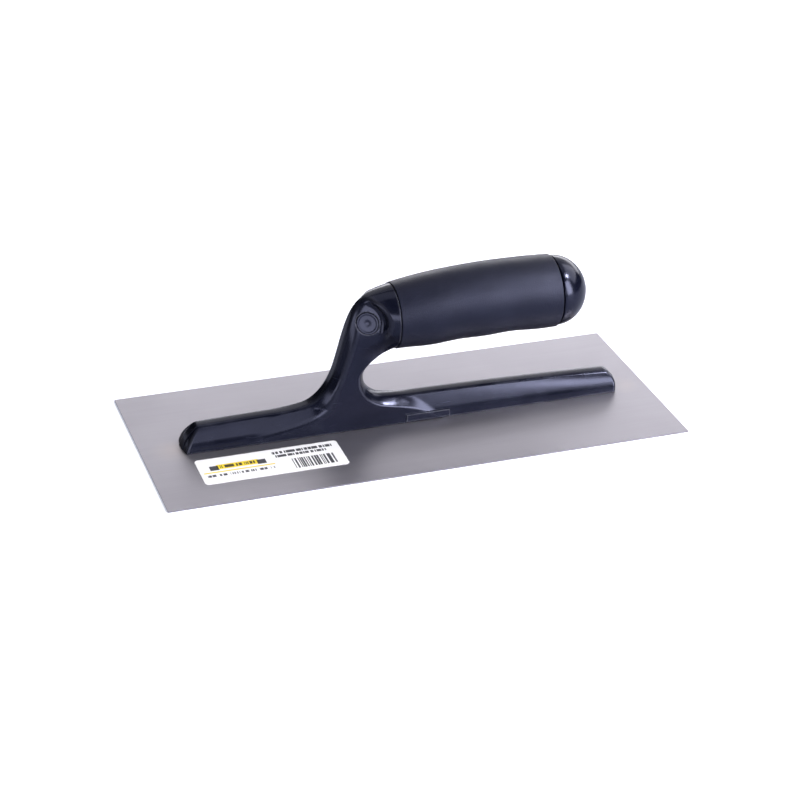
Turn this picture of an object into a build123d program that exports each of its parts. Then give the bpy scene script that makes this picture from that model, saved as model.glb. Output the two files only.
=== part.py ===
from build123d import *
import math
import os

# Steel finishing trowel: a flat blade, a moulded rail and neck fixed along its middle,
# and a round grip held on a steel rod over the open hand gap.
# X runs along the blade with the neck end on -X, Y across it, +Z up.
# The origin is the centre of the blade's underside. All sizes in millimetres.

# ---- blade -------------------------------------------------------------------------
blade_length = 280.0
blade_width = 120.0
blade_thickness = 0.7

# ---- rail: the long foot of the handle moulding --------------------------------------
rail_length = 240.0
rail_centre_x = 1.0
rail_base_half = 8.9          # half width where it sits on the blade
rail_knee_half = 8.6          # half width where the side starts to slope in
rail_knee_height = 5.8        # height of the upright lower wall
ridge_half = 3.1              # half width of the flat ridge
ridge_height_nose = 12.6      # ridge height at the -X end
ridge_height_neck = 14.0      # ridge height beside the neck
ridge_height_tail = 11.0      # ridge height at the +X end
nose_drop_length = 11.0       # length over which the nose runs down
nose_foot_height = 4.0        # upright height left at the tip of the nose
tail_drop_length = 5.2
tail_foot_height = 5.6
nose_plan_taper = 4.4         # how much each side pulls in at the nose
tail_plan_taper = 1.6
rail_wall = 3.0               # thickness left outside the cored pockets
core_depth = 7.6
core_rib = 2.2                # rib between a pocket and a rivet boss

# ---- rivets --------------------------------------------------------------------------
rivet_count = 6
rivet_end_inset = 15.0        # first and last rivet, in from the rail's ends
rivet_head_diameter = 7.0
rivet_shank_diameter = 4.0
rivet_depth = 9.2             # length of shank above the blade
rivet_barb_length = 1.2
rivet_barb_relief = 0.15
boss_radius = 4.4

# ---- neck: rises from the rail and bends over into the collar ------------------------
neck_shift_x = 0.0            # moves the whole neck along the rail
neck_half_low = 8.3           # half thickness across at the rail
neck_half_mid = 8.4           # half thickness across at half height
collar_radius = 16.7
collar_drop = 0.8             # collar centre below the rod's axis
collar_face_x = -6.5          # plane where the grip butts against the collar
axis_height = 60.2            # height of the grip's axis at the collar, above the blade

# ---- rod, pin and plugs in the neck --------------------------------------------------
rod_diameter = 6.0
rod_embed = 18.6              # length of rod inside the neck
pin_diameter = 2.5
pin_inset = 14.5              # pin axis behind the collar face
plug_diameter = 10.8
plug_thickness = 1.2
plug_face_half = 7.0          # from the middle plane to the centre of a plug's face
plug_flare = 0.30             # how far the face moves out for each millimetre along +X
plug_lean = 0.34              # how far it moves in for each millimetre up
plug_seat_margin = 0.5

# ---- grip ----------------------------------------------------------------------------
grip_length = 89.0
grip_start_radius = 17.2
grip_radius = 18.8
grip_rise = 3.2               # how far the middle of the grip arches up
grip_wave = 0.5               # depth of the finger waves
grip_drop = 0.4               # grip's axis below the rod's axis at the collar
grip_wall = 3.2
grip_web = 6.0
grip_core_radius = 6.4
grip_rib = 2.4
grip_end_pocket = 14.0        # depth of the pocket that holds nut and cap spigot
grip_end_bore = 15.0
rod_clearance = 0.2

# ---- nut, washer and cap -------------------------------------------------------------
washer_diameter = 18.0
washer_thickness = 1.6
nut_across_flats = 10.0
nut_height = 5.0
rod_past_nut = 1.6
cap_radius = 18.1
cap_depth = 17.4
cap_wall = 2.6
cap_gap = 0.9                 # shadow groove between grip and cap
cap_seat_radius = 16.4        # shoulder of the cap that meets the grip
cap_spigot_length = 7.0
cap_spigot_wall = 2.2

# ---- label ---------------------------------------------------------------------------
label_length = 75.4
label_width = 25.0
label_thickness = 0.15
label_corner = 2.0
label_x = -78.3
label_y = -28.5

# ---- places worked out from the sizes above ------------------------------------------
deck = blade_thickness                       # top face of the blade
rail_x0 = rail_centre_x - rail_length / 2
rail_x1 = rail_centre_x + rail_length / 2
axis_z = deck + axis_height
neck_crown_x = -15.0 + neck_shift_x
pin_x = collar_face_x - pin_inset
grip_x1 = collar_face_x + grip_length
rivet_pitch = (rail_length - 2 * rivet_end_inset) / (rivet_count - 1)
rivet_places = [rail_x0 + rivet_end_inset + i * rivet_pitch for i in range(rivet_count)]
pocket_floor_x = grip_x1 - grip_end_pocket


def across(x, z):
    """Plane that faces +X, its own x along +Y and its own y along +Z."""
    return Plane(origin=(x, 0, z), x_dir=(0, 1, 0), z_dir=(1, 0, 0))


def rod_along_x(x0, x1, radius, z):
    """Round bar from x0 to x1 with its axis at height z."""
    return extrude(across(x0, z) * Circle(radius), x1 - x0)


def rod_along_y(x, z, y0, y1, radius):
    """Round bar from y0 to y1 through the point x, z."""
    plane = Plane(origin=(x, y0, z), x_dir=(1, 0, 0), z_dir=(0, 1, 0))
    return extrude(plane * Circle(radius), y1 - y0)


def box_between(x0, x1, y0, y1, z0, z1):
    centre = Pos((x0 + x1) / 2, (y0 + y1) / 2, (z0 + z1) / 2)
    return centre * Box(x1 - x0, y1 - y0, z1 - z0)


# ---- blade and rivets ----------------------------------------------------------------
def rivet_head(x):
    """The cone that fills the countersink, from the underside to the deck."""
    head = Pos(x, 0, blade_thickness / 2) * Cone(
        rivet_head_diameter / 2, rivet_shank_diameter / 2, blade_thickness
    )
    return head


def make_blade():
    blade = box_between(
        -blade_length / 2, blade_length / 2, -blade_width / 2, blade_width / 2, 0, deck
    )
    for x in rivet_places:
        blade -= rivet_head(x)
    return blade


def make_rivets():
    """Flush rivets: a ground head in the blade and a barbed shank up in the rail."""
    rivets = []
    slim = rivet_shank_diameter / 2 - rivet_barb_relief
    full = rivet_shank_diameter / 2
    for x in rivet_places:
        rivet = rivet_head(x)
        rivet += Pos(x, 0, deck + rivet_depth / 2) * Cylinder(slim, rivet_depth)
        for step in (0.2, 0.5, 0.8):
            rivet += Pos(x, 0, deck + step * rivet_depth) * Cylinder(full, rivet_barb_length)
        rivets.append(rivet)
    return Compound(children=rivets)


# ---- handle moulding -----------------------------------------------------------------
def rail_section(x, height):
    """One cross section of the rail: upright wall, sloping side, flat ridge."""
    points = [
        (rail_base_half, 0),
        (rail_knee_half, rail_knee_height),
        (ridge_half, height),
        (-ridge_half, height),
        (-rail_knee_half, rail_knee_height),
        (-rail_base_half, 0),
    ]
    return across(x, deck) * make_face(Polyline(*points, close=True))


def rail_side_outline():
    """The rail seen from the side, tall enough to leave the ridge alone."""
    tall = ridge_height_neck + 4.0
    nose_top = deck + ridge_height_nose
    tail_top = deck + ridge_height_tail
    line = Polyline(
        (rail_x0, deck),
        (rail_x0, deck + nose_foot_height),
        (rail_x0 + nose_drop_length, nose_top + 0.3),
        (rail_x0 + nose_drop_length + 3.0, deck + tall),
        (rail_x1 - tail_drop_length - 3.0, deck + tall),
        (rail_x1 - tail_drop_length, tail_top + 0.3),
        (rail_x1, deck + tail_foot_height),
        (rail_x1, deck),
        close=True,
    )
    face = Plane.XZ * make_face(line)
    return extrude(face, 2 * rail_base_half, both=True)


def rail_plan_outline():
    """The rail seen from above: straight sides that pull in at both ends."""
    nose_tip = rail_base_half - nose_plan_taper
    tail_tip = rail_base_half - tail_plan_taper
    half = rail_base_half + 0.2
    line = Polyline(
        (rail_x0, -nose_tip),
        (rail_x0 + 8.0, -half),
        (rail_x1 - 4.0, -half),
        (rail_x1, -tail_tip),
        (rail_x1, tail_tip),
        (rail_x1 - 4.0, half),
        (rail_x0 + 8.0, half),
        (rail_x0, nose_tip),
        close=True,
    )
    return extrude(Pos(0, 0, deck) * make_face(line), ridge_height_neck + 6.0)


def make_rail():
    left = loft(
        [rail_section(rail_x0, ridge_height_nose), rail_section(neck_crown_x, ridge_height_neck)],
        ruled=True,
    )
    right = loft(
        [rail_section(neck_crown_x, ridge_height_neck), rail_section(rail_x1, ridge_height_tail)],
        ruled=True,
    )
    return (left + right) & rail_side_outline() & rail_plan_outline()


def neck_section(front, inner, front_half, side_half, side_part, side_bulge=0.25):
    """Section across the neck: narrow front edge, side faces and a round inner edge.

    front and inner are (x, height above the blade) in the middle plane of the tool.
    The side faces run from the front edge to side_half, at side_part of the depth.
    """
    fx, fz = front[0] + neck_shift_x, front[1] + deck
    ix, iz = inner[0] + neck_shift_x, inner[1] + deck
    depth = math.hypot(ix - fx, iz - fz)
    along = Vector((ix - fx) / depth, 0, (iz - fz) / depth)
    plane = Plane(origin=(fx, 0, fz), x_dir=along, z_dir=Vector(0, 1, 0).cross(along) * -1.0)
    rear = depth * side_part
    front_rise = min(front_half * 0.12, 0.35)
    middle = ((front_rise + rear) / 2, (front_half + side_half) / 2)
    run = math.hypot(rear - front_rise, side_half - front_half)
    lean = ((side_half - front_half) / run, (rear - front_rise) / run)
    out = (middle[0] - lean[0] * side_bulge, middle[1] + lean[1] * side_bulge)
    edges = [
        ThreePointArc((front_rise, -front_half), (0, 0), (front_rise, front_half)),
        ThreePointArc((front_rise, front_half), out, (rear, side_half)),
        ThreePointArc((rear, side_half), (depth, 0), (rear, -side_half)),
        ThreePointArc((rear, -side_half), (out[0], -out[1]), (front_rise, -front_half)),
    ]
    return plane * make_face(edges)


def collar_section(radius):
    """The collar's round section, cut at the same four corners as the neck's sections."""
    corner = radius * math.sqrt(0.5)
    centre = Plane(
        origin=(collar_face_x, 0, axis_z - collar_drop), x_dir=(0, 0, -1), z_dir=(1, 0, 0)
    )
    quarters = [
        ThreePointArc((-corner, -corner), (-radius, 0), (-corner, corner)),
        ThreePointArc((-corner, corner), (0, radius), (corner, corner)),
        ThreePointArc((corner, corner), (radius, 0), (corner, -corner)),
        ThreePointArc((corner, -corner), (0, -radius), (-corner, -corner)),
    ]
    return centre * make_face(quarters)


def make_neck():
    low, mid = neck_half_low, neck_half_mid
    edge = ridge_half
    sections = [
        neck_section((-52.0, 8.0), (-9.0, 8.0), edge + 2.6, low + 0.3, 0.75),
        neck_section((-46.5, 16.0), (-16.5, 15.0), edge, low, 0.78),
        neck_section((-39.6, 24.5), (-21.0, 23.0), edge, low - 0.2, 0.76),
        neck_section((-35.4, 34.5), (-20.4, 30.5), edge, mid - 0.2, 0.74),
        neck_section((-31.6, 46.5), (-17.4, 35.8), edge + 0.2, mid + 0.4, 0.72, 0.4),
        neck_section((-27.6, 60.5), (-13.4, 39.6), edge + 0.7, mid + 2.2, 0.68, 0.6),
        neck_section((-22.8, 68.9), (-11.4, 41.3), edge + 2.4, mid + 4.6, 0.64, 1.4),
        neck_section((-15.4, 72.6), (-9.0, 42.2), edge + 5.6, mid + 6.9, 0.58, 2.2),
        collar_section(collar_radius),
    ]
    return loft(sections)


def slanted_bar(side, radius, low, high):
    """Part of a round bar along Y, cut by two planes that follow the slanted plug face.

    low and high are measured outwards along Y from the plug face, on that side.
    """
    normal = Vector(-plug_flare, side, plug_lean).normalized()
    start = Plane(
        origin=(pin_x, side * (plug_face_half + low), axis_z), x_dir=(plug_lean, 0, plug_flare),
        z_dir=normal,
    )
    slab = extrude(start * Rectangle(60.0, 60.0), high - low, dir=(0, side, 0))
    return slab & rod_along_y(pin_x, axis_z, -60.0, 60.0, radius)


def core_pockets():
    """Pockets cored out from below so that the thick rail cools evenly."""
    half = rail_knee_half - rail_wall
    edges = [rail_x0 + 9.0]
    for x in rivet_places:
        edges += [x - boss_radius - core_rib, x + boss_radius + core_rib]
    edges.append(rail_x1 - 7.0)
    pockets = []
    for x0, x1 in zip(edges[0::2], edges[1::2]):
        if x1 - x0 > 3.0:
            pockets.append(box_between(x0, x1, -half, half, deck, deck + core_depth))
    return pockets


def make_handle_frame():
    frame = make_rail() + make_neck()
    # round seats for the plugs, flat faced on both sides of the neck
    seat_radius = plug_diameter / 2 + plug_seat_margin
    for side in (-1, 1):
        frame += slanted_bar(side, seat_radius, -5.0, 0.0)
        frame -= slanted_bar(side, seat_radius, 0.0, 12.0)
        frame -= slanted_bar(side, plug_diameter / 2, -plug_thickness, 12.0)
    frame -= rod_along_y(pin_x, axis_z, -plug_face_half, plug_face_half, pin_diameter / 2)
    frame -= rod_along_x(collar_face_x - rod_embed, collar_face_x, rod_diameter / 2, axis_z)
    for pocket in core_pockets():
        frame -= pocket
    for x in rivet_places:
        bore = rivet_depth + 0.4
        frame -= Pos(x, 0, deck + bore / 2) * Cylinder(rivet_shank_diameter / 2, bore)
    return frame


# ---- rod, pin, plugs, nut and washer -------------------------------------------------
def make_rod():
    x0 = collar_face_x - rod_embed
    end = pocket_floor_x + washer_thickness + nut_height + rod_past_nut
    rod = rod_along_x(x0, end, rod_diameter / 2, axis_z)
    rod -= rod_along_y(pin_x, axis_z, -rod_diameter, rod_diameter, pin_diameter / 2)
    return rod


def make_pin():
    """Straight pin through the neck and the rod, clear of the plugs' slanted backs."""
    slant = pin_diameter / 2 * math.hypot(plug_flare, plug_lean)
    half = plug_face_half - plug_thickness - slant
    return rod_along_y(pin_x, axis_z, -half, half, pin_diameter / 2)


def make_plug(side):
    """Press-in cover with a ring groove and a small dimple in its slanted face."""
    radius = plug_diameter / 2
    plug = slanted_bar(side, radius, -plug_thickness, 0.0)
    ring = slanted_bar(side, radius - 0.8, -0.4, 1.0)
    ring -= slanted_bar(side, radius - 1.4, -0.4, 1.0)
    plug -= ring
    plug -= slanted_bar(side, 1.3, -0.4, 1.0)
    return plug


def make_washer():
    x0 = pocket_floor_x
    washer = rod_along_x(x0, x0 + washer_thickness, washer_diameter / 2, axis_z)
    hole = rod_diameter / 2 + rod_clearance
    washer -= rod_along_x(x0, x0 + washer_thickness, hole, axis_z)
    return washer


def make_nut():
    x0 = pocket_floor_x + washer_thickness
    radius = nut_across_flats / 2 / math.cos(math.pi / 6)
    nut = extrude(across(x0, axis_z) * RegularPolygon(radius, 6), nut_height)
    nut -= rod_along_x(x0, x0 + nut_height, rod_diameter / 2, axis_z)
    return nut


# ---- grip ----------------------------------------------------------------------------
def grip_centre(t):
    """Height of the grip's axis above the rod's axis at t, from 0 to 1 along it."""
    return grip_rise * math.sin(0.72 * math.pi * t) - grip_drop


def finger_wave(t):
    """How far the underside stands out at t: three shallow swells along the grip."""
    return grip_wave * (0.5 + 0.5 * math.cos(2 * math.pi * (3 * t - 0.66)))


def grip_outer_radius(t):
    """Radius along the grip before the finger waves: slimmer at the collar."""
    return grip_radius - (grip_radius - grip_start_radius) * (1 - t) ** 5


def grip_loft(inset, x0, x1):
    faces = []
    steps = 17
    for i in range(steps):
        x = x0 + (x1 - x0) * i / (steps - 1)
        t = (x - collar_face_x) / grip_length
        swell = finger_wave(t) / 2
        section = across(x, axis_z + grip_centre(t) - swell)
        faces.append(section * Circle(grip_outer_radius(t) + swell - inset))
    return loft(faces)


def make_grip():
    """Hollow sleeve: outer shell, inner tube for the rod, four ribs and two end webs."""
    hollow_x0 = collar_face_x + grip_web
    hollow_x1 = pocket_floor_x - grip_web
    grip = grip_loft(0.0, collar_face_x, grip_x1)
    hollow = grip_loft(grip_wall, hollow_x0, hollow_x1)
    hollow -= rod_along_x(hollow_x0, hollow_x1, grip_core_radius, axis_z)
    span = 2 * grip_radius
    for turn in (45, 135):
        rib = box_between(hollow_x0, hollow_x1, -grip_rib / 2, grip_rib / 2, -span, span)
        hollow -= Pos(0, 0, axis_z) * (Rot(turn, 0, 0) * rib)
    grip -= hollow
    bore = rod_diameter / 2 + rod_clearance
    grip -= rod_along_x(collar_face_x, grip_x1, bore, axis_z)
    end_z = axis_z + grip_centre(1.0)
    grip -= rod_along_x(pocket_floor_x, grip_x1, grip_end_bore, end_z)
    return grip


# ---- end cap -------------------------------------------------------------------------
def half_dome(base_x, radius, depth, centre_z):
    """Half ellipsoid standing on the plane x = base_x and bulging towards +X."""
    arc = EllipticalCenterArc((0, 0), depth, radius, start_angle=0, arc_size=90)
    outline = arc + Line((0, radius), (0, 0)) + Line((0, 0), (depth, 0))
    face = Plane.XZ * make_face(outline)
    return Pos(base_x, 0, centre_z) * revolve(face, Axis.X)


def make_end_cap():
    """Domed cover whose spigot pushes into the end of the grip."""
    end_z = axis_z + grip_centre(1.0)
    rim_x = grip_x1 + cap_gap
    cap = half_dome(rim_x, cap_radius, cap_depth - cap_gap, end_z)
    cap += rod_along_x(grip_x1, rim_x, cap_seat_radius, end_z)
    cap += rod_along_x(grip_x1 - cap_spigot_length, grip_x1, grip_end_bore, end_z)
    bore = grip_end_bore - cap_spigot_wall
    cap -= rod_along_x(grip_x1 - cap_spigot_length, rim_x, bore, end_z)
    inner = half_dome(rim_x, bore, cap_depth - cap_gap - cap_wall, end_z)
    return cap - inner


# ---- label ---------------------------------------------------------------------------
def make_label():
    outline = RectangleRounded(label_length, label_width, label_corner)
    return extrude(Pos(label_x, label_y, deck) * outline, label_thickness)


# ---- write one file for each piece ---------------------------------------------------
os.makedirs("parts", exist_ok=True)
pieces = {
    "blade": make_blade(),
    "blade_rivets": make_rivets(),
    "handle_frame": make_handle_frame(),
    "tang_rod": make_rod(),
    "cross_pin": make_pin(),
    "neck_plug_near": make_plug(-1),
    "neck_plug_far": make_plug(1),
    "grip_sleeve": make_grip(),
    "tang_washer": make_washer(),
    "tang_nut": make_nut(),
    "end_cap": make_end_cap(),
    "label": make_label(),
}
for name, shape in pieces.items():
    export_step(shape, "parts/" + name + ".step")
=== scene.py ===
import math
import bmesh
import bpy
import numpy as np
from mathutils import Matrix, Vector


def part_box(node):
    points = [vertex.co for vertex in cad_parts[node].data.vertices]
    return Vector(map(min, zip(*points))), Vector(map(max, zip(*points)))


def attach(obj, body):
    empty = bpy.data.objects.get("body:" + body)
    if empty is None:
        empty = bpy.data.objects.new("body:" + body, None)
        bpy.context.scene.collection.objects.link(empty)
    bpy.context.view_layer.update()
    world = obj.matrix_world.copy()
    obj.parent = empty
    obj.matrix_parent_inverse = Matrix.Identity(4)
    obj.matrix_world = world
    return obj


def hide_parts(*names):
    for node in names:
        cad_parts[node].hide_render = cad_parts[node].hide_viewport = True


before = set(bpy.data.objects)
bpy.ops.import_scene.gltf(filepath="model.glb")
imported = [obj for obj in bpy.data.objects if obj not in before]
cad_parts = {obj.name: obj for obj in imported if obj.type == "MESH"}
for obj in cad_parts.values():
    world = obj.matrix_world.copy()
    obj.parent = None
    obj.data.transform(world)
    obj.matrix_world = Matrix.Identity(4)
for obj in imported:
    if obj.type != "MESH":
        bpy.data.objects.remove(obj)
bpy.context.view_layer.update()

# ---- Blade ---------------------------------------------------------------------------
# A flat plate of hardened steel, sheared square and ground along its length, so its
# fine grain runs from the neck end to the cap end. Everything else is fixed to it.
MM = 0.001


def add_node(tree, kind, **settings):
    made = tree.nodes.new(kind)
    for key, value in settings.items():
        setattr(made, key, value)
    return made


def feed(tree, socket, source):
    """Wire a socket from another one, or set its own value."""
    if isinstance(source, bpy.types.NodeSocket):
        tree.links.new(source, socket)
    else:
        socket.default_value = source


def calc(tree, operation, *sources):
    made = add_node(tree, "ShaderNodeMath", operation=operation)
    for socket, source in zip(made.inputs, sources):
        feed(tree, socket, source)
    return made.outputs[0]


def blend(tree, amount, first, second):
    """Mix two colours."""
    made = add_node(tree, "ShaderNodeMix", data_type="RGBA")
    colours = [s for s in made.inputs if s.type == "RGBA"]
    feed(tree, made.inputs[0], amount)
    feed(tree, colours[0], first)
    feed(tree, colours[1], second)
    return [s for s in made.outputs if s.type == "RGBA"][0]


def remap(tree, value, low, high, to_low, to_high):
    made = add_node(tree, "ShaderNodeMapRange")
    for socket, source in zip(made.inputs, (value, low, high, to_low, to_high)):
        feed(tree, socket, source)
    return made.outputs[0]


def stretch(tree, vector, x, y, z):
    """Scale a vector by three factors, one for each axis."""
    factors = add_node(tree, "ShaderNodeCombineXYZ")
    for socket, source in zip(factors.inputs, (x, y, z)):
        feed(tree, socket, source)
    made = add_node(tree, "ShaderNodeVectorMath", operation="MULTIPLY")
    feed(tree, made.inputs[0], vector)
    feed(tree, made.inputs[1], factors.outputs[0])
    return made.outputs[0]


def noise(tree, vector, scale, detail=3.0, distortion=0.0):
    made = add_node(tree, "ShaderNodeTexNoise")
    for name, source in (("Vector", vector), ("Scale", scale), ("Detail", detail),
                         ("Distortion", distortion)):
        feed(tree, made.inputs[name], source)
    return made.outputs[0]


def finish_group(name, inputs, outputs):
    """Empty shader group with named sockets; inputs are (name, kind, default)."""
    tree = bpy.data.node_groups.new(name, "ShaderNodeTree")
    for label, kind, default in inputs:
        made = tree.interface.new_socket(label, in_out="INPUT", socket_type="NodeSocket" + kind)
        if default is not None:
            made.default_value = default
    for label in outputs:
        tree.interface.new_socket(label, in_out="OUTPUT", socket_type="NodeSocketFloat")
    return tree, add_node(tree, "NodeGroupInput").outputs, add_node(tree, "NodeGroupOutput").inputs


def use_group(tree, group, **values):
    made = add_node(tree, "ShaderNodeGroup", node_tree=group)
    for label, source in values.items():
        feed(tree, made.inputs[label.replace("_", " ")], source)
    return made.outputs


def brushed_group():
    """Grinding marks along X: thin streaks on top of wider, fainter bands."""
    tree, given, out = finish_group("brushed_grain", (
        ("Vector", "Vector", None), ("Length", "Float", 0.04), ("Pitch", "Float", 0.0005)),
        ("Streaks",))
    along = calc(tree, "DIVIDE", 1.0, given["Length"])
    across = calc(tree, "DIVIDE", 1.0, given["Pitch"])
    lines = noise(tree, stretch(tree, given["Vector"], along, across, across), 1.0, 4.0)
    wide = calc(tree, "MULTIPLY", across, 0.17)
    bands = noise(tree, stretch(tree, given["Vector"], along, wide, wide), 1.0, 2.0)
    feed(tree, out["Streaks"], calc(tree, "ADD", calc(tree, "MULTIPLY", lines, 0.6),
                                    calc(tree, "MULTIPLY", bands, 0.4)))
    return tree


def patches_group():
    """Soft uneven patches, from low to high, for handling marks and uneven gloss."""
    tree, given, out = finish_group("soft_patches", (
        ("Vector", "Vector", None), ("Size", "Float", 0.02), ("Low", "Float", 0.0),
        ("High", "Float", 1.0)), ("Value",))
    cloud = noise(tree, given["Vector"], calc(tree, "DIVIDE", 1.0, given["Size"]), 4.0, 0.3)
    feed(tree, out["Value"], remap(tree, cloud, 0.34, 0.66, given["Low"], given["High"]))
    return tree


def new_material(name):
    made = bpy.data.materials.new(name)
    made.use_nodes = True
    tree = made.node_tree
    place = add_node(tree, "ShaderNodeTexCoord").outputs["Object"]
    return made, tree, tree.nodes["Principled BSDF"].inputs, place


def bump(tree, height, strength, depth):
    made = add_node(tree, "ShaderNodeBump")
    made.inputs["Strength"].default_value = strength
    made.inputs["Distance"].default_value = depth
    feed(tree, made.inputs["Height"], height)
    return made.outputs[0]


brushed_grain = brushed_group()
soft_patches = patches_group()


def blade_steel(rail_end_low, rail_end_high):
    """Ground steel, with a faint warm rubbed patch off each end of the rail."""
    made, tree, skin_of, place = new_material("blade_ground_steel")
    grain = use_group(tree, brushed_grain, Vector=place, Length=0.05, Pitch=0.0006)
    cloud = use_group(tree, soft_patches, Vector=place, Size=0.05, Low=0.0, High=1.0)[0]
    tone = calc(tree, "MULTIPLY_ADD", grain["Streaks"], 0.7, calc(tree, "MULTIPLY", cloud, 0.3))
    colour = blend(tree, tone, (0.315, 0.305, 0.340, 1), (0.410, 0.398, 0.435, 1))
    for x, y, reach in ((rail_end_low - 5 * MM, -3 * MM, 12 * MM),
                        (rail_end_high + 5 * MM, -2 * MM, 11 * MM)):
        off = add_node(tree, "ShaderNodeVectorMath", operation="DISTANCE")
        feed(tree, off.inputs[0], place)
        off.inputs[1].default_value = (x, y, 0.0)
        near = remap(tree, off.outputs["Value"], reach, 2 * MM, 0.0, 0.55)
        spot = calc(tree, "MULTIPLY", near, cloud)
        colour = blend(tree, spot, colour, (0.47, 0.42, 0.40, 1))
    feed(tree, skin_of["Base Color"], colour)
    rough = calc(tree, "MULTIPLY_ADD", grain["Streaks"], 0.10,
                 remap(tree, cloud, 0.0, 1.0, 0.28, 0.34))
    feed(tree, skin_of["Roughness"], rough)
    skin_of["Metallic"].default_value = 0.86
    skin_of["Anisotropic"].default_value = 0.45
    along = add_node(tree, "ShaderNodeTangent", direction_type="RADIAL", axis="Y")
    feed(tree, skin_of["Tangent"], along.outputs[0])
    feed(tree, skin_of["Normal"], bump(tree, grain["Streaks"], 0.25, 0.00002))
    return made


def give_material(node_object, material):
    node_object.data.materials.clear()
    node_object.data.materials.append(material)


frame_low, frame_high = (Vector(c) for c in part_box("handle_frame"))
deck = Vector(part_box("blade")[1]).z      # height of the blade's upper face
give_material(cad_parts["blade"], blade_steel(frame_low.x, frame_high.x))

# ---- Label ---------------------------------------------------------------------------
# A white paper sticker with round corners, stuck to the deck beside the rail. Its
# printing is plain: a yellow band, a rule, rows of dashes and a block of upright bars.


def printed_box(tree, x, y, centre_x, centre_y, half_x, half_y):
    """Mask of one printed rectangle, in metres from the label's own centre."""
    inside_x = calc(tree, "LESS_THAN", calc(tree, "ABSOLUTE",
                    calc(tree, "SUBTRACT", x, centre_x * MM)), half_x * MM)
    inside_y = calc(tree, "LESS_THAN", calc(tree, "ABSOLUTE",
                    calc(tree, "SUBTRACT", y, centre_y * MM)), half_y * MM)
    return calc(tree, "MULTIPLY", inside_x, inside_y)


def dashes(tree, x, seed, pitch, gap_share):
    """Broken line: a noise along X, cut where it falls below the gap share."""
    made = add_node(tree, "ShaderNodeTexNoise", noise_dimensions="1D")
    feed(tree, made.inputs["W"], calc(tree, "MULTIPLY_ADD", x, 1 / (pitch * MM), seed))
    made.inputs["Scale"].default_value = 1.0
    made.inputs["Detail"].default_value = 1.0
    return calc(tree, "GREATER_THAN", made.outputs[0], gap_share)


def label_paper():
    low, high = (Vector(c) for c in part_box("label"))
    middle = (low + high) / 2
    made, tree, skin_of, place = new_material("label_paper")
    centred = add_node(tree, "ShaderNodeMapping", vector_type="POINT")
    feed(tree, centred.inputs["Vector"], place)
    centred.inputs["Location"].default_value = (-middle.x, -middle.y, 0)
    split = add_node(tree, "ShaderNodeSeparateXYZ")
    feed(tree, split.inputs[0], centred.outputs[0])
    x, y = split.outputs[0], split.outputs[1]
    cloud = use_group(tree, soft_patches, Vector=place, Size=0.012, Low=0.0, High=1.0)[0]
    paper = blend(tree, cloud, (0.93, 0.935, 0.945, 1), (0.87, 0.875, 0.89, 1))
    # boxes are centre x, centre y, half length and half height, in mm
    band, rule = (-17.2, 3.0, 11.0, 2.3), (-17.4, -1.7, 18.5, 0.5)
    squares = ((-29.6, 2.4, 2.3, 2.2), (-4.8, 2.4, 2.3, 2.2))
    yellow = calc(tree, "MAXIMUM", printed_box(tree, x, y, *band),
                  printed_box(tree, x, y, *rule))
    ink = calc(tree, "MAXIMUM", *(printed_box(tree, x, y, *square) for square in squares))
    # a row is a box, then the seed, pitch in mm and gap share of its dashes
    rows = ((-17.2, 3.0, 9.6, 1.35, 1.0, 1.5, 0.47), (-17.2, -5.0, 17.5, 1.05, 4.0, 1.9, 0.50),
            (18.2, 8.5, 16.0, 1.25, 9.0, 1.1, 0.42), (16.6, 5.0, 14.0, 1.15, 14.0, 1.1, 0.43),
            (21.4, -4.4, 11.0, 5.0, 21.0, 0.9, 0.47))
    for *box, seed, pitch, gap_share in rows:
        row = printed_box(tree, x, y, *box)
        marks = calc(tree, "MULTIPLY", row, dashes(tree, x, seed, pitch, gap_share))
        ink = calc(tree, "MAXIMUM", ink, marks)
    colour = blend(tree, yellow, paper, (0.86, 0.66, 0.03, 1))
    colour = blend(tree, calc(tree, "MULTIPLY", ink, 0.95), colour, (0.012, 0.012, 0.022, 1))
    feed(tree, skin_of["Base Color"], colour)
    feed(tree, skin_of["Roughness"], remap(tree, cloud, 0.0, 1.0, 0.42, 0.55))
    fibre = noise(tree, place, 2500.0, 3.0)
    feed(tree, skin_of["Normal"], bump(tree, fibre, 0.15, 0.00003))
    return made


give_material(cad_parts["label"], label_paper())

# ---- Rivets --------------------------------------------------------------------------
# Six flush steel rivets along the middle of the blade. Each has a ground cone head in
# the underside and a barbed shank up in the rail, where it cannot be seen.


def shape_group(name, inputs):
    """Empty geometry tree with named inputs (name, kind, default)."""
    tree = bpy.data.node_groups.new(name, "GeometryNodeTree")
    tree.interface.new_socket("Geometry", in_out="OUTPUT", socket_type="NodeSocketGeometry")
    for label, kind, default in inputs:
        made = tree.interface.new_socket(label, in_out="INPUT", socket_type="NodeSocket" + kind)
        if default is not None:
            made.default_value = default
    return tree, add_node(tree, "NodeGroupInput").outputs, add_node(tree, "NodeGroupOutput").inputs


def grow(name, tree, values):
    """Run a geometry tree on an empty object and keep the result as a plain mesh."""
    seed = bpy.data.objects.new(name + "_seed", bpy.data.meshes.new(name + "_seed"))
    bpy.context.scene.collection.objects.link(seed)
    modifier = seed.modifiers.new("shape", "NODES")
    modifier.node_group = tree
    for item in tree.interface.items_tree:
        if item.item_type == "SOCKET" and item.in_out == "INPUT" and item.name in values:
            modifier[item.identifier] = values[item.name]
    ready = seed.evaluated_get(bpy.context.evaluated_depsgraph_get())
    mesh = bpy.data.meshes.new_from_object(ready)
    mesh.name = name
    seed.modifiers.clear()
    bpy.data.objects.remove(seed)
    return place_mesh(name, mesh)


def place_mesh(name, mesh):
    piece = bpy.data.objects.new(name, mesh)
    bpy.context.scene.collection.objects.link(piece)
    return piece


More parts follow.
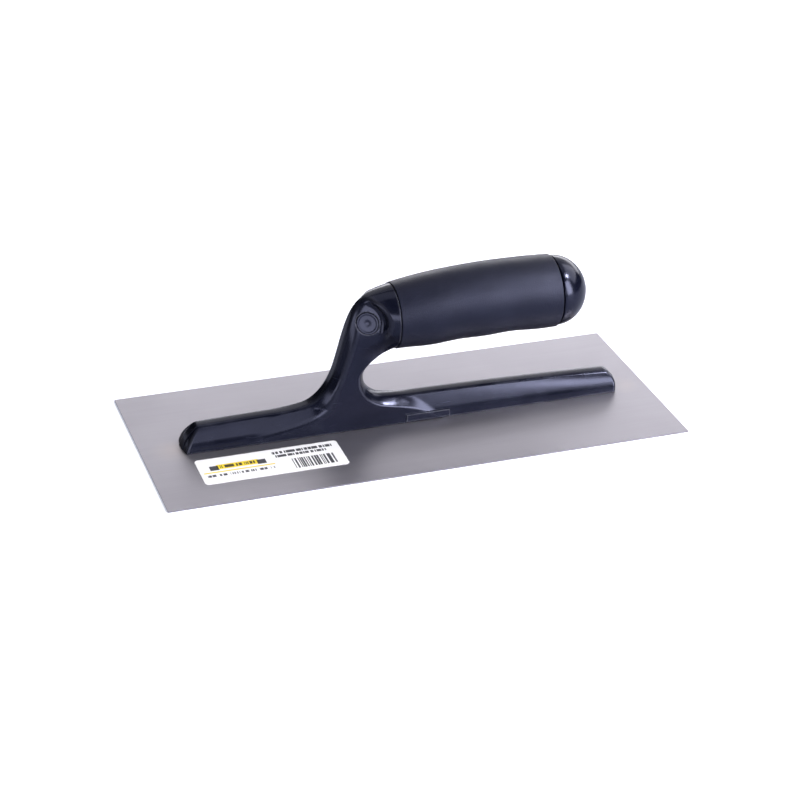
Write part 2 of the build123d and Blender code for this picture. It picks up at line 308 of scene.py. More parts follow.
def steel_of_fixings():
    """Bright plated steel with short fine turning marks."""
    made, tree, skin_of, place = new_material("fixing_plated_steel")
    grain = use_group(tree, brushed_grain, Vector=place, Length=0.004, Pitch=0.0003)
    cloud = use_group(tree, soft_patches, Vector=place, Size=0.006, Low=0.0, High=1.0)[0]
    colour = blend(tree, cloud, (0.56, 0.55, 0.58, 1), (0.66, 0.65, 0.68, 1))
    feed(tree, skin_of["Base Color"], colour)
    feed(tree, skin_of["Roughness"], remap(tree, grain["Streaks"], 0.3, 0.7, 0.24, 0.42))
    skin_of["Metallic"].default_value = 1.0
    feed(tree, skin_of["Normal"], bump(tree, grain["Streaks"], 0.3, 0.00002))
    return made


def rivet_row_tree():
    """A row of equal rivets along X: cone head, shank and three barbs."""
    tree, given, out = shape_group("rivet_row", (
        ("Count", "Int", 6), ("First X", "Float", 0.0), ("Pitch", "Float", 0.04),
        ("Head Radius", "Float", 0.0035), ("Shank Radius", "Float", 0.002),
        ("Head Depth", "Float", 0.0007), ("Shank Length", "Float", 0.009),
        ("Barb Depth", "Float", 0.00015), ("Material", "Material", None)))
    join = add_node(tree, "GeometryNodeJoinGeometry")

    def cone(bottom, top, depth, lift):
        made = add_node(tree, "GeometryNodeMeshCone", fill_type="NGON")
        made.inputs["Vertices"].default_value = 40
        feed(tree, made.inputs["Radius Bottom"], bottom)
        feed(tree, made.inputs["Radius Top"], top)
        feed(tree, made.inputs["Depth"], depth)
        move = add_node(tree, "GeometryNodeTransform")
        feed(tree, move.inputs["Geometry"], made.outputs["Mesh"])
        offset = add_node(tree, "ShaderNodeCombineXYZ")
        feed(tree, offset.inputs[2], lift)
        feed(tree, move.inputs["Translation"], offset.outputs[0])
        tree.links.new(move.outputs[0], join.inputs[0])

    head, shank = given["Head Radius"], given["Shank Radius"]
    cone(head, shank, given["Head Depth"], 0.0)
    slim = calc(tree, "SUBTRACT", shank, given["Barb Depth"])
    cone(slim, slim, given["Shank Length"], given["Head Depth"])
    for share in (0.15, 0.45, 0.75):
        lift = calc(tree, "MULTIPLY_ADD", given["Shank Length"], share, given["Head Depth"])
        cone(slim, shank, calc(tree, "MULTIPLY", given["Shank Length"], 0.13), lift)
    row = add_node(tree, "GeometryNodeMeshLine", mode="OFFSET")
    feed(tree, row.inputs["Count"], given["Count"])
    for label, target in (("First X", "Start Location"), ("Pitch", "Offset")):
        point = add_node(tree, "ShaderNodeCombineXYZ")
        feed(tree, point.inputs[0], given[label])
        feed(tree, row.inputs[target], point.outputs[0])
    copies = add_node(tree, "GeometryNodeInstanceOnPoints")
    feed(tree, copies.inputs["Points"], row.outputs[0])
    feed(tree, copies.inputs["Instance"], join.outputs[0])
    real = add_node(tree, "GeometryNodeRealizeInstances")
    feed(tree, real.inputs[0], copies.outputs[0])
    coat = add_node(tree, "GeometryNodeSetMaterial")
    feed(tree, coat.inputs["Geometry"], real.outputs[0])
    feed(tree, coat.inputs["Material"], given["Material"])
    feed(tree, out[0], coat.outputs[0])
    return tree


fixing_steel = steel_of_fixings()
rivets_low, rivets_high = (Vector(c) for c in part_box("blade_rivets"))
rivet_count, rivet_head = 6, 3.5 * MM
rivet_pitch = (rivets_high.x - rivets_low.x - 2 * rivet_head) / (rivet_count - 1)
rivets = grow("rivets", rivet_row_tree(), {
    "Count": rivet_count, "First X": rivets_low.x + rivet_head, "Pitch": rivet_pitch,
    "Head Radius": rivet_head, "Shank Radius": 2 * MM, "Head Depth": deck,
    "Shank Length": rivets_high.z - deck, "Barb Depth": 0.15 * MM, "Material": fixing_steel})
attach(rivets, "root")
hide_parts("blade_rivets")

# ---- Handle moulding -----------------------------------------------------------------
# One glossy navy plastic moulding: the long rail with its raised ridge, the neck that
# grows out of it and the round collar. It is shaped here as a solid of blended faces.


def larger(a, b, round_off):
    """The larger of two depths, with the edge between the two faces rounded off."""
    share = np.clip(0.5 + 0.5 * (a - b) / round_off, 0.0, 1.0)
    return b * (1 - share) + a * share + round_off * share * (1 - share)


def smaller(a, b, round_off):
    return -larger(-a, -b, round_off)


def bent_line(points, steps=6):
    """Smooth line through a few (x, z) points, as short straight runs."""
    p = np.array(points, float)
    p = np.vstack([2 * p[0] - p[1], p, 2 * p[-1] - p[-2]])
    line = []
    for a, b, c, d in zip(p[:-3], p[1:-2], p[2:-1], p[3:]):
        for t in np.arange(steps) / steps:
            line.append(0.5 * (2 * b + (c - a) * t + (2 * a - 5 * b + 4 * c - d) * t ** 2
                               + (3 * b - a - 3 * c + d) * t ** 3))
    return np.array(line + [p[-2]])


def left_of(x, z, line):
    """Distance of points to the left of a line, walking along it; less than 0 right."""
    best, side = np.full(x.shape, 1e9), np.ones(x.shape)
    last = len(line) - 2
    for i, ((ax, az), (bx, bz)) in enumerate(zip(line[:-1], line[1:])):
        dx, dz = bx - ax, bz - az
        t = ((x - ax) * dx + (z - az) * dz) / (dx * dx + dz * dz)
        t = np.clip(t, None if i == 0 else 0.0, None if i == last else 1.0)
        gap = (ax + t * dx - x) ** 2 + (az + t * dz - z) ** 2
        nearer = gap < best
        cross = dx * (z - az) - dz * (x - ax)
        best = np.where(nearer, gap, best)
        side = np.where(nearer, np.where(cross < 0, -1.0, 1.0), side)
    return np.sqrt(best) * side


# the neck's front edge and its inner edge over the hand gap, as (x, height) in mm
neck_front = bent_line((
    (-96, 4.0), (-78, 9.5), (-66, 12.2), (-58, 14.1), (-51, 16.1), (-45.5, 19.7),
    (-41.0, 25.3), (-37.7, 32.2), (-35.1, 40.7), (-32.7, 49.7), (-30.2, 58.2), (-27.6, 65.2),
    (-24.2, 70.1), (-19.1, 73.3), (-12.2, 75.3), (-5, 76.7), (4, 77.9)))
neck_inner = bent_line((
    (26, 3.0), (12, 9.5), (2, 12.6), (-5.5, 14.2), (-11.8, 15.9), (-16.6, 18.8),
    (-19.9, 22.6), (-21.2, 27.2), (-20.5, 31.8), (-17.6, 36.2), (-13.6, 39.4), (-9, 41.5),
    (-4, 42.8), (4, 43.2)))
ridge_half = 3.05
plug_x, plug_z, plug_out = -21.0, 60.2, 7.0      # centre of a plug's face
plug_flare, plug_lean, plug_radius = 0.30, 0.34, 5.4
collar_x = -5.7                                 # the collar's flat end face

# the rail's section and ends
rail_half, wall_lean = 8.9, 0.3                 # half width on the deck, lean of its walls
knee_half, knee_z = 8.6, 5.8                    # where each wall meets its slope
ridge_top, ridge_fall, ridge_top_x, ridge_reach = 14.0, 2.9, -22, 138
nose_x, tail_x = -118.6, 122.1                  # feet of the two end faces
panel_x, panel_z, panel_half_x, panel_half_z, panel_proud = 13, 2.6, 12, 1.9, 0.35


def plug_face(x, z):
    """Distance of the slanted plug face from the middle plane."""
    return plug_out + plug_flare * (x - plug_x) - plug_lean * (z - plug_z)


def rail_depth(x, y, z):
    """Long rail: two low walls, two slopes, a flat ridge and a rounded nose and tail."""
    across = np.abs(y)
    ridge = ridge_top - ridge_fall * ((x - ridge_top_x) / ridge_reach) ** 2
    run = (knee_half - ridge_half) / (ridge - knee_z)
    slope = (across - ridge_half - (ridge - z) * run) / np.sqrt(1 + run ** 2)
    level = (z - (ridge + knee_z) / 2) / ((ridge - knee_z) / 2)
    slope = slope + 0.15 * np.maximum(1 - level ** 2, 0)
    wall_at = rail_half - wall_lean * z / knee_z
    crown = z - ridge + 0.02 * across ** 2
    rail = larger(crown, larger(slope, across - wall_at, 4.0), 0.9)
    # the ridge strip stands a little proud where it runs down both ends
    proud = 0.45 * np.clip((3.5 - across) / 0.8, 0, 1)
    foot = -0.928 * (x - nose_x) + 0.371 * z
    brow = -0.70 * (x + 115.9) + 0.713 * (z - 7)
    nose = larger(foot, brow, 2.2) + 0.02 * np.maximum(across - 3, 0) ** 2 - proud
    rail = larger(rail, nose, 1.0)
    end = x - tail_x + 0.012 * across ** 2
    tail_brow = 0.72 * (x - 117.2) + 0.694 * (z - 10.9)
    tail = larger(end, tail_brow, 2.4) + 0.015 * np.maximum(across - 3, 0) ** 2 - proud * 0.8
    rail = larger(rail, tail, 1.1)
    # blank raised panel on the near wall
    panel = np.maximum(np.abs(x - panel_x) - panel_half_x, np.abs(z - panel_z) - panel_half_z)
    panel = np.maximum(panel, np.maximum(-y - (wall_at + panel_proud), y + 8))
    return smaller(rail, panel, 0.2)


def neck_depth(x, y, z):
    """Flat sided neck that turns into a round collar as it bends over."""
    across = np.abs(y)
    front = left_of(x, z, neck_front)
    inner = -left_of(x, z, neck_inner)
    run = 0.72 + np.clip((z - 14) / 10, 0, 1) * 0.62
    bevel = (across - ridge_half + front * run) / np.sqrt(1 + run ** 2)
    flank = across - (8.2 - 0.5 * np.exp(-((z - 34) / 13.0) ** 2))
    hollow = 0.062 - 0.032 * np.clip((z - 30) / 10, 0, 1)
    flat = larger(larger(front, bevel, 0.9), flank, 1.4)
    flat = larger(flat, inner + hollow * across ** 2, 0.6)
    thick = -(front + inner) / 2
    round_form = np.hypot(across, (front - inner) / 2) - thick
    fan = np.degrees(np.arctan2(np.maximum(-6.3 - x, 0.0), np.maximum(z - 29.0, 0.01)))
    fan = np.where((z < 36) & (x > -8), 90.0, fan)
    turn = np.clip(1 - fan / 60.0, 0, 1) ** 1.4
    elbow = (1 - turn) * flat + turn * round_form
    # flat tongue round the plug, sunk into the elbow
    over = (across - plug_face(x, z)) / math.sqrt(1 + plug_flare ** 2 + plug_lean ** 2)
    aside = x - plug_x + 1.5 - 0.23 * np.minimum(z - plug_z, 0)
    arch = 10.4 - np.hypot(aside, np.maximum(z - plug_z - 1.0, 0))
    return larger(elbow, smaller(over, arch, 3.0), 2.6)


def handle_depth(x, y, z):
    """How far a point lies outside the moulding; less than 0 inside. Millimetres,
    with heights measured from the deck."""
    solid = rail_depth(x, y, z)
    near = (x > -100) & (x < 34)
    if np.any(near):
        neck = neck_depth(x[near], y[near], z[near])
        solid[near] = smaller(neck, solid[near], 2.2)
        across = np.abs(y[near])
        seat = np.hypot(x[near] - plug_x, z[near] - plug_z) - plug_radius - 0.08
        seat = np.maximum(seat, plug_face(x[near], z[near]) - 1.2 - across)
        seat = np.maximum(seat, 30 - z[near])
        solid[near] = larger(solid[near], -seat, 0.35)
    solid = larger(solid, np.where(z > 40, x - collar_x, -5.0), 0.3)
    return larger(solid, -z, 0.35)


def skin(depth, low, high, cell):
    """Closed mesh where depth is 0: one vertex in each cell that the surface crosses,
    then slid onto the surface. Returns the points, four-sided faces and normals."""
    block = 4
    counts = [block * int(math.ceil((h - l) / cell / block)) for l, h in zip(low, high)]
    axes = [l + cell * np.arange(n) for l, n in zip(low, counts)]
    coarse = [a[::block] + cell * (block - 1) / 2 for a in axes]
    rough = depth(*(g.ravel() for g in np.meshgrid(*coarse, indexing="ij")))
    rough = rough.reshape([len(c) for c in coarse])
    for axis in range(3):
        rough = np.repeat(rough, block, axis=axis)
    values, band = rough.copy(), np.abs(rough) < 1.5 * block * cell
    i, j, k = np.nonzero(band)
    values[band] = depth(axes[0][i], axes[1][j], axes[2][k])
    inside = values < 0
    sizes = np.array(values.shape)
    full = np.zeros(sizes - 1, int)
    corners = [(a, b, c) for a in (0, 1) for b in (0, 1) for c in (0, 1)]
    for a, b, c in corners:
        full += inside[a:sizes[0] - 1 + a, b:sizes[1] - 1 + b, c:sizes[2] - 1 + c]
    crossed = (full > 0) & (full < 8)
    cells = np.argwhere(crossed)
    number = np.full(crossed.shape, -1)
    number[crossed] = np.arange(len(cells))
    total, hits = np.zeros((len(cells), 3)), np.zeros(len(cells))
    for axis in range(3):
        for a, b, c in corners:
            if (a, b, c)[axis]:
                continue
            start = cells + (a, b, c)
            stop = start.copy()
            stop[:, axis] += 1
            v0, v1 = values[tuple(start.T)], values[tuple(stop.T)]
            cut = (v0 < 0) != (v1 < 0)
            point = start.astype(float)
            point[:, axis] += np.where(cut, v0 / np.where(cut, v0 - v1, 1.0), 0.0)
            total[cut] += point[cut]
            hits[cut] += 1
    points = total / hits[:, None] * cell + np.array(low)
    quads = []
    for axis in range(3):
        first, second = [n for n in range(3) if n != axis]
        ahead = np.swapaxes(inside, 0, axis)
        edges = np.argwhere(np.swapaxes(ahead[:-1] != ahead[1:], 0, axis))
        edges = edges[(edges[:, first] > 0) & (edges[:, second] > 0)]
        ring = []
        for u, v in ((-1, -1), (0, -1), (0, 0), (-1, 0)):
            around = edges.copy()
            around[:, first] += u
            around[:, second] += v
            ring.append(number[tuple(around.T)])
        ring = np.stack(ring, 1)
        turned = inside[tuple(edges.T)] ^ (axis == 1)
        ring[~turned] = ring[~turned][:, ::-1]
        quads.append(ring)
    step = 0.02
    for _ in range(3):
        here = depth(*points.T)
        slope = np.stack([(depth(*(points + step * d).T) - depth(*(points - step * d).T))
                          / (2 * step) for d in np.eye(3)], 1)
        move = (here / np.maximum((slope ** 2).sum(1), 0.05))[:, None] * slope
        length = np.linalg.norm(move, axis=1)[:, None]
        points = points - move * np.minimum(1.0, 0.5 * cell / np.maximum(length, 1e-9))
    return points, np.concatenate(quads), slope / np.linalg.norm(slope, axis=1)[:, None]


def edge_sharpness(depth, points, reach):
    """0 on flat and hollow faces, up to 1 on the sharpest outer edges."""
    here = depth(*points.T)
    bend = sum(depth(*(points + reach * d).T) + depth(*(points - reach * d).T) - 2 * here
               for d in np.eye(3)) / reach ** 2
    return np.clip(bend * 0.5, 0.0, 1.0)


def mesh_from(name, points, faces):
    mesh = bpy.data.meshes.new(name)
    mesh.from_pydata([tuple(p) for p in points], [], [tuple(f) for f in faces])
    mesh.update()
    mesh.shade_smooth()
    return mesh


def scuffs_group():
    """Hair scratches in two directions, only where the piece has been handled."""
    tree, given, out = finish_group("hair_scuffs", (
        ("Vector", "Vector", None), ("Size", "Float", 0.01)), ("Mask",))
    along = calc(tree, "DIVIDE", 1.0, given["Size"])
    across = calc(tree, "MULTIPLY", along, 26.0)
    one = noise(tree, stretch(tree, given["Vector"], along, across, along), 1.0, 2.0, 0.6)
    two = noise(tree, stretch(tree, given["Vector"], along, along, across), 1.0, 2.0, 0.8)
    lines = calc(tree, "MAXIMUM", remap(tree, one, 0.68, 0.72, 0.0, 1.0),
                 remap(tree, two, 0.69, 0.73, 0.0, 1.0))
    where = remap(tree, noise(tree, given["Vector"], 60.0, 2.0), 0.45, 0.6, 0.0, 1.0)
    feed(tree, out["Mask"], calc(tree, "MULTIPLY", lines, where))
    return tree


def grain_group():
    """Skin of moulded plastic: an even fine grain with a slow ripple under it."""
    tree, given, out = finish_group("moulded_grain", (
        ("Vector", "Vector", None), ("Grain", "Float", 0.0004), ("Ripple", "Float", 0.2)),
        ("Height",))
    fine = noise(tree, given["Vector"], calc(tree, "DIVIDE", 1.0, given["Grain"]), 2.0)
    slow = noise(tree, given["Vector"], 90.0, 1.0)
    feed(tree, out["Height"], calc(tree, "ADD", fine, calc(tree, "MULTIPLY", slow,
                                                            given["Ripple"])))
    return tree


def dark_polymer(skin_of):
    """The cool, rather weak reflection of this plastic."""
    skin_of["IOR"].default_value = 1.5
    skin_of["Specular IOR Level"].default_value = 0.38
    skin_of["Specular Tint"].default_value = (0.60, 0.64, 0.92, 1)


hair_scuffs = scuffs_group()
moulded_grain = grain_group()


def gloss_plastic(name, painted_edge_highlight):
    made, tree, skin_of, place = new_material(name)
    cloud = use_group(tree, soft_patches, Vector=place, Size=0.018, Low=0.0, High=1.0)[0]
    scuff = use_group(tree, hair_scuffs, Vector=place, Size=0.012)[0]
    skin_height = use_group(tree, moulded_grain, Vector=place, Grain=0.0009, Ripple=2.0)[0]
    colour = blend(tree, cloud, (0.0020, 0.0026, 0.0072, 1), (0.0033, 0.0041, 0.0108, 1))
    worn = calc(tree, "MULTIPLY", scuff, 0.30)
    # Painted highlight: where the edge attribute marks a sharp outer edge, the colour is lightened
    # in uneven patches, standing in for light caught along the creases.
    if painted_edge_highlight:
        edge = add_node(tree, "ShaderNodeAttribute", attribute_name="edge").outputs["Fac"]
        patch = calc(tree, "MULTIPLY", edge, remap(tree, cloud, 0.2, 0.8, 0.05, 0.35))
        colour = blend(tree, patch, colour, (0.16, 0.165, 0.19, 1))
    colour = blend(tree, worn, colour, (0.022, 0.024, 0.038, 1))
    feed(tree, skin_of["Base Color"], colour)
    rough = calc(tree, "MULTIPLY_ADD", worn, 0.35, remap(tree, cloud, 0.0, 1.0, 0.16, 0.23))
    feed(tree, skin_of["Roughness"], rough)
    dark_polymer(skin_of)
    feed(tree, skin_of["Normal"], bump(tree, skin_height, 0.12, 0.00006))
    return made


def handle_moulding():
    cell = 0.6
    low, high = (-121.0, -19.2, -1.2), (123.0, 19.2, 79.5)
    points, quads, normals = skin(handle_depth, low, high, cell)
    # Sharpness of the outer edges, kept as the edge attribute; the gloss material paints a
    # highlight along them.
    edge = edge_sharpness(handle_depth, points, 0.5)
    mesh = mesh_from("handle_moulding", (points + (0, 0, deck / MM)) * MM, quads)
    mesh.normals_split_custom_set_from_vertices([tuple(n) for n in normals])
    mesh.attributes.new("edge", "FLOAT", "POINT").data.foreach_set("value", edge)
    return place_mesh("handle_moulding", mesh)


handle_gloss = gloss_plastic("navy_gloss_plastic", True)
handle = handle_moulding()
handle.data.materials.append(handle_gloss)
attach(handle, "root")
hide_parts("handle_frame")

# ---- Rod and pin ---------------------------------------------------------------------
# A round steel rod runs from the neck through the grip, threaded at its far end. A
# straight pin through neck and rod stops it from turning. Both are hidden.
for hidden in ("tang_rod", "cross_pin"):
    give_material(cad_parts[hidden], fixing_steel)

# ---- Neck plugs ----------------------------------------------------------------------
# Two round plastic covers pressed in over the ends of the pin, one on each side of the
# neck. Each face lies in the slanted side of the neck and has a small moulded dimple.


def turned(profile, sides):
    """Points and faces of a closed round form; profile is (radius, height), from the
    centre of one end to the centre of the other, both with radius 0."""
    points, faces = [(0.0, 0.0, profile[0][1])], []
    for radius, height in profile[1:-1]:
        for i in range(sides):
            angle = 2 * math.pi * i / sides
            points.append((radius * math.cos(angle), radius * math.sin(angle), height))
    points.append((0.0, 0.0, profile[-1][1]))
    rings = len(profile) - 2
    for i in range(sides):
        j = (i + 1) % sides
        faces.append((0, 1 + j, 1 + i))
        for ring in range(rings - 1):
            a, b = 1 + ring * sides, 1 + (ring + 1) * sides
            faces.append((a + i, a + j, b + j, b + i))
        a = 1 + (rings - 1) * sides
        faces.append((a + i, a + j, len(points) - 1))
    return points, faces


def closed_mesh(name, points, faces):
    """Mesh with its faces turned outwards."""
    mesh = mesh_from(name, points, faces)
    work = bmesh.new()
    work.from_mesh(mesh)
    bmesh.ops.recalc_face_normals(work, faces=work.faces)
    work.to_mesh(mesh)
    work.free()
    return mesh


def plug_profile():
    """(radius, height) in mm: flat back, round rim, shallow ring and centre dimple."""
    rim, turn = plug_radius, 0.35
    line = [(0, -1.2), (rim, -1.2), (rim, -turn)]
    for i in range(1, 6):
        angle = math.radians(18 * i)
        line.append((rim - turn + turn * math.cos(angle), -turn + turn * math.sin(angle)))
    line += [(4.5, 0.0), (4.35, -0.05), (4.2, -0.12), (4.0, -0.14), (2.4, -0.14)]
    line += [(1.7, -0.18), (1.2, -0.26), (0.6, -0.33), (0, -0.35)]
    return line


def neck_plug(name, side):
    points, faces = turned(plug_profile(), 72)
    sheared = []
    for u, v, height in points:
        x, z = plug_x + u, plug_z + v
        sheared.append((x * MM, side * (plug_face(x, z) + height) * MM, z * MM + deck))
    mesh = closed_mesh(name, sheared, faces)
    mesh.materials.append(plug_gloss)
    return place_mesh(name, mesh)


plug_gloss = gloss_plastic("navy_plug_plastic", False)
for name, side in (("neck_plug_near", -1), ("neck_plug_far", 1)):
    plug = neck_plug(name + "_cover", side)
    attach(plug, "root")
    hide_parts(name)

# ---- Grip ----------------------------------------------------------------------------
# A moulded sleeve on the rod, slimmer at the collar and arched along its top, with
# three shallow swells for the fingers underneath and a fine matt grain all over.


def grip_tree():
    """Tube along X whose radius and centre follow a rule of t, 0 to 1 along it."""
    tree, given, out = shape_group("grip_tube", (
        ("Start X", "Float", -0.0056), ("Length", "Float", 0.088),
        ("Axis Height", "Float", 0.06), ("Start Radius", "Float", 0.0172),
        ("Radius", "Float", 0.0188), ("Rise", "Float", 0.0032), ("Drop", "Float", 0.0004),
        ("Wave", "Float", 0.0005), ("Edge Round", "Float", 0.0008), ("Rings", "Int", 200),
        ("Material", "Material", None)))
    line = add_node(tree, "GeometryNodeCurvePrimitiveLine")
    line.inputs["End"].default_value = (1, 0, 0)
    fine = add_node(tree, "GeometryNodeResampleCurve")
    feed(tree, fine.inputs["Curve"], line.outputs[0])
    feed(tree, fine.inputs["Count"], given["Rings"])
    circle = add_node(tree, "GeometryNodeCurvePrimitiveCircle")
    circle.inputs["Resolution"].default_value = 144
    circle.inputs["Radius"].default_value = 1.0
    tube = add_node(tree, "GeometryNodeCurveToMesh")
    feed(tree, tube.inputs["Curve"], fine.outputs[0])
    feed(tree, tube.inputs["Profile Curve"], circle.outputs[0])
    tube.inputs["Fill Caps"].default_value = True
    spot = add_node(tree, "ShaderNodeSeparateXYZ")
    feed(tree, spot.inputs[0], add_node(tree, "GeometryNodeInputPosition").outputs[0])
    even, unit_y, unit_z = spot.outputs

    # rings stand closer together at both ends
    turn = calc(tree, "SINE", calc(tree, "MULTIPLY", even, 2 * math.pi))
    t = calc(tree, "MULTIPLY_ADD", turn, -0.85 / (2 * math.pi), even)
    left = calc(tree, "SUBTRACT", 1.0, t)
    slim = calc(tree, "MULTIPLY", calc(tree, "SUBTRACT", given["Radius"], given["Start Radius"]),
                calc(tree, "POWER", left, 5.0))
    swell = calc(tree, "COSINE", calc(tree, "MULTIPLY_ADD", t, 6 * math.pi, -1.32 * math.pi))
    swell = calc(tree, "MULTIPLY", given["Wave"], calc(tree, "MULTIPLY_ADD", swell, 0.25, 0.25))
    to_end = calc(tree, "MULTIPLY", calc(tree, "MINIMUM", t, left), given["Length"])
    short = calc(tree, "MAXIMUM", calc(tree, "SUBTRACT", given["Edge Round"], to_end), 0.0)
    square = calc(tree, "MULTIPLY", given["Edge Round"], given["Edge Round"])
    root = calc(tree, "SQRT", calc(tree, "MAXIMUM", calc(tree, "SUBTRACT", square,
                calc(tree, "MULTIPLY", short, short)), 0.0))
    shrink = calc(tree, "SUBTRACT", given["Edge Round"], root)
    radius = calc(tree, "SUBTRACT", calc(tree, "ADD", given["Radius"], swell), slim)
    radius = calc(tree, "SUBTRACT", radius, shrink)
    arch = calc(tree, "MULTIPLY", given["Rise"],
                calc(tree, "SINE", calc(tree, "MULTIPLY", t, 0.72 * math.pi)))
    centre = calc(tree, "SUBTRACT", calc(tree, "ADD", given["Axis Height"], arch),
                  calc(tree, "ADD", given["Drop"], swell))
    place = add_node(tree, "ShaderNodeCombineXYZ")
    feed(tree, place.inputs[0], calc(tree, "MULTIPLY_ADD", t, given["Length"], given["Start X"]))
    feed(tree, place.inputs[1], calc(tree, "MULTIPLY", unit_y, radius))
    feed(tree, place.inputs[2], calc(tree, "MULTIPLY_ADD", unit_z, radius, centre))
    shape = add_node(tree, "GeometryNodeSetPosition")
    feed(tree, shape.inputs["Geometry"], tube.outputs[0])
    feed(tree, shape.inputs["Position"], place.outputs[0])
    real = add_node(tree, "GeometryNodeRealizeInstances")
    feed(tree, real.inputs[0], shape.outputs[0])
    coat = add_node(tree, "GeometryNodeSetMaterial")
    feed(tree, coat.inputs["Geometry"], real.outputs[0])
    feed(tree, coat.inputs["Material"], given["Material"])
    feed(tree, out[0], coat.outputs[0])
    return tree


def satin_plastic():
    """Matt grained plastic, rubbed a little smoother where the hand holds it."""
    made, tree, skin_of, place = new_material("navy_satin_plastic")
    cloud = use_group(tree, soft_patches, Vector=place, Size=0.016, Low=0.0, High=1.0)[0]
    scuff = use_group(tree, hair_scuffs, Vector=place, Size=0.02)[0]
    fine = use_group(tree, moulded_grain, Vector=place, Grain=0.00055, Ripple=1.2)[0]
    colour = blend(tree, cloud, (0.0028, 0.0034, 0.0086, 1), (0.0042, 0.0050, 0.0122, 1))
    colour = blend(tree, calc(tree, "MULTIPLY", scuff, 0.3), colour, (0.018, 0.019, 0.030, 1))
    feed(tree, skin_of["Base Color"], colour)
    feed(tree, skin_of["Roughness"], calc(tree, "MULTIPLY_ADD", fine, 0.12,
                                          remap(tree, cloud, 0.0, 1.0, 0.26, 0.34)))
    dark_polymer(skin_of)
    feed(tree, skin_of["Normal"], bump(tree, fine, 0.75, 0.00015))
    return made


grip_low, grip_high = (Vector(c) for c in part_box("grip_sleeve"))
grip_start = collar_x * MM + 0.00010
axis_height = plug_z * MM + deck
grip = grow("grip", grip_tree(), {
    "Start X": grip_start, "Length": grip_high.x - grip_start, "Axis Height": axis_height,
    "Start Radius": 17.3 * MM, "Radius": 19.3 * MM, "Rise": 3.2 * MM, "Drop": 0.5 * MM,
    "Wave": 0.5 * MM, "Edge Round": 0.35 * MM, "Rings": 200, "Material": satin_plastic()})
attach(grip, "root")
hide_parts("grip_sleeve")

# ---- Washer and nut ------------------------------------------------------------------
# The nut on the rod's thread pulls the grip up against the collar through a plain
# washer. Both sit in the pocket under the end cap.
for hidden in ("tang_washer", "tang_nut"):
    give_material(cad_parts[hidden], fixing_steel)

# ---- End cap -------------------------------------------------------------------------
# A glossy domed cover pushed into the end of the grip by its spigot. A shoulder keeps
# its rim about 1 mm off the grip, which leaves a dark groove all round.


def cap_profile(rim, seat, spigot, reach, groove, depth):
    """(radius, distance from the grip's end) in mm, from the spigot to the dome's top."""
    line = [(0, -reach), (spigot, -reach), (spigot, 0), (seat, 0), (seat, groove)]
    turn = 0.6
    for i in range(7):
        angle = math.radians(15 * i)
        line.append((rim - turn + turn * math.sin(angle), groove + turn - turn * math.cos(angle)))
    start = groove + turn
    for i in range(1, 61):
        angle = math.radians(1.5 * i)
        line.append((rim * math.cos(angle), start + (depth - start) * math.sin(angle)))
    line[-1] = (0, depth)
    return line


def end_cap():
    low, high = (Vector(c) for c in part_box("end_cap"))
    centre_z = (low.z + high.z) / 2 - 0.15 * MM
    rim = (high.z - low.z) / 2 / MM + 0.5
    depth = (high.x - grip_high.x) / MM + 1.4
    profile = cap_profile(rim, 16.4, 15.0, 7.0, 0.9, depth)
    points, faces = turned(profile, 144)
    placed = [(grip_high.x + h * MM, u * MM, centre_z + v * MM) for u, v, h in points]
    mesh = closed_mesh("end_cap_dome", placed, faces)
    mesh.materials.append(gloss_plastic("navy_cap_plastic", False))
    return place_mesh("end_cap_dome", mesh)


cap = end_cap()
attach(cap, "root")
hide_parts("end_cap")

# ---- Studio --------------------------------------------------------------------------
# A plain white lit table, soft boxes in front of, behind and beside the trowel, and
# the camera a little above it on the neck side.


def table():
    made, tree, skin_of, _ = new_material("table_white")
    seen = add_node(tree, "ShaderNodeLightPath").outputs["Is Camera Ray"]
    feed(tree, skin_of["Base Color"], blend(tree, seen, (0.44, 0.46, 0.55, 1),
                                            (0.86, 0.86, 0.88, 1)))
    skin_of["Roughness"].default_value = 0.6
    feed(tree, skin_of["Emission Color"], blend(tree, seen, (0.0, 0.0, 0.0, 1),
                                                (0.40, 0.42, 0.50, 1)))
    skin_of["Emission Strength"].default_value = 1.0
    half = 6.0
    mesh = mesh_from("table", [(-half, -half, 0), (half, -half, 0), (half, half, 0),
                               (-half, half, 0)], [(0, 1, 2, 3)])
    mesh.transform(Matrix.Translation((0, 0, -0.0002)))
    mesh.materials.append(made)
    return place_mesh("table", mesh)


floor = table()


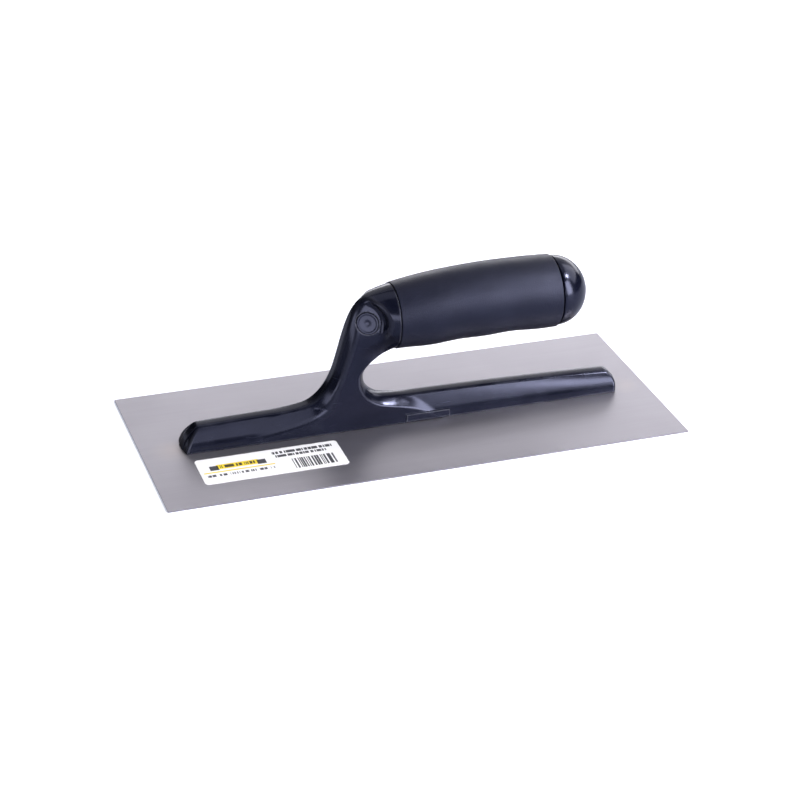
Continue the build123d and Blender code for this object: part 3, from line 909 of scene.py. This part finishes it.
def soft_box(name, azimuth, elevation, distance, width, height, brightness):
    """Soft light of even brightness that faces the trowel; azimuth 0 is on -Y."""
    a, e = math.radians(azimuth), math.radians(elevation)
    away = Vector((math.sin(a) * math.cos(e), -math.cos(a) * math.cos(e), math.sin(e)))
    light = bpy.data.lights.new(name, "AREA")
    light.shape = "RECTANGLE"
    light.size, light.size_y = width, height
    light.energy = brightness * math.pi * width * height
    light.color = (1.0, 0.985, 1.02)
    lamp = bpy.data.objects.new(name, light)
    bpy.context.scene.collection.objects.link(lamp)
    lamp.location = away * distance + Vector((0, 0, 0.04))
    lamp.rotation_euler = away.to_track_quat("Z", "Y").to_euler()
    return lamp


soft_box("front_left_box", -14, 12, 1.6, 0.60, 0.50, 5.8)
soft_box("left_low_box", -56, 10, 1.6, 0.70, 0.50, 4.0)
soft_box("front_box", 10, 26, 1.6, 1.10, 0.90, 2.0)
soft_box("front_right_box", 40, 22, 1.6, 0.56, 1.10, 15.0)
soft_box("back_low_box", 152, 12, 1.8, 2.80, 0.50, 3.8)
soft_box("back_middle_box", 152, 30, 1.8, 2.40, 0.60, 0.85)
soft_box("back_high_box", 152, 50, 1.8, 2.80, 0.60, 0.65)
soft_box("right_box", 92, 38, 1.6, 1.30, 1.00, 3.2)
soft_box("top_box", 158, 80, 1.6, 1.60, 0.80, 0.9)
soft_box("key_lamp", 66, 47, 0.75, 0.09, 0.09, 100.0)

world = bpy.data.worlds.new("studio_air")
bpy.context.scene.world = world
world.use_nodes = True
air = world.node_tree.nodes["Background"].inputs
air["Color"].default_value = (0.95, 0.97, 1.0, 1)
air["Strength"].default_value = 0.02
bpy.context.scene.view_settings.view_transform = "Standard"

lens, azimuth, elevation, distance, roll = 97.85, -19.71, 28.26, 1.1654, 1.41
target = Vector((0.0058, 0.016, 0.0007))
a, e = math.radians(azimuth), math.radians(elevation)
back = Vector((math.sin(a) * math.cos(e), -math.cos(a) * math.cos(e), math.sin(e)))
level = Vector((math.cos(a), math.sin(a), 0))
upright = back.cross(level)
side = level * math.cos(math.radians(roll)) + upright * math.sin(math.radians(roll))
up = back.cross(side)
spot = target + back * distance
camera_data = bpy.data.cameras.new("camera")
camera_data.lens = lens
camera_data.sensor_width = 36
camera = bpy.data.objects.new("camera", camera_data)
bpy.context.scene.collection.objects.link(camera)
camera.matrix_world = Matrix((
    (side.x, up.x, back.x, spot.x), (side.y, up.y, back.y, spot.y),
    (side.z, up.z, back.z, spot.z), (0, 0, 0, 1)))
bpy.context.scene.camera = camera
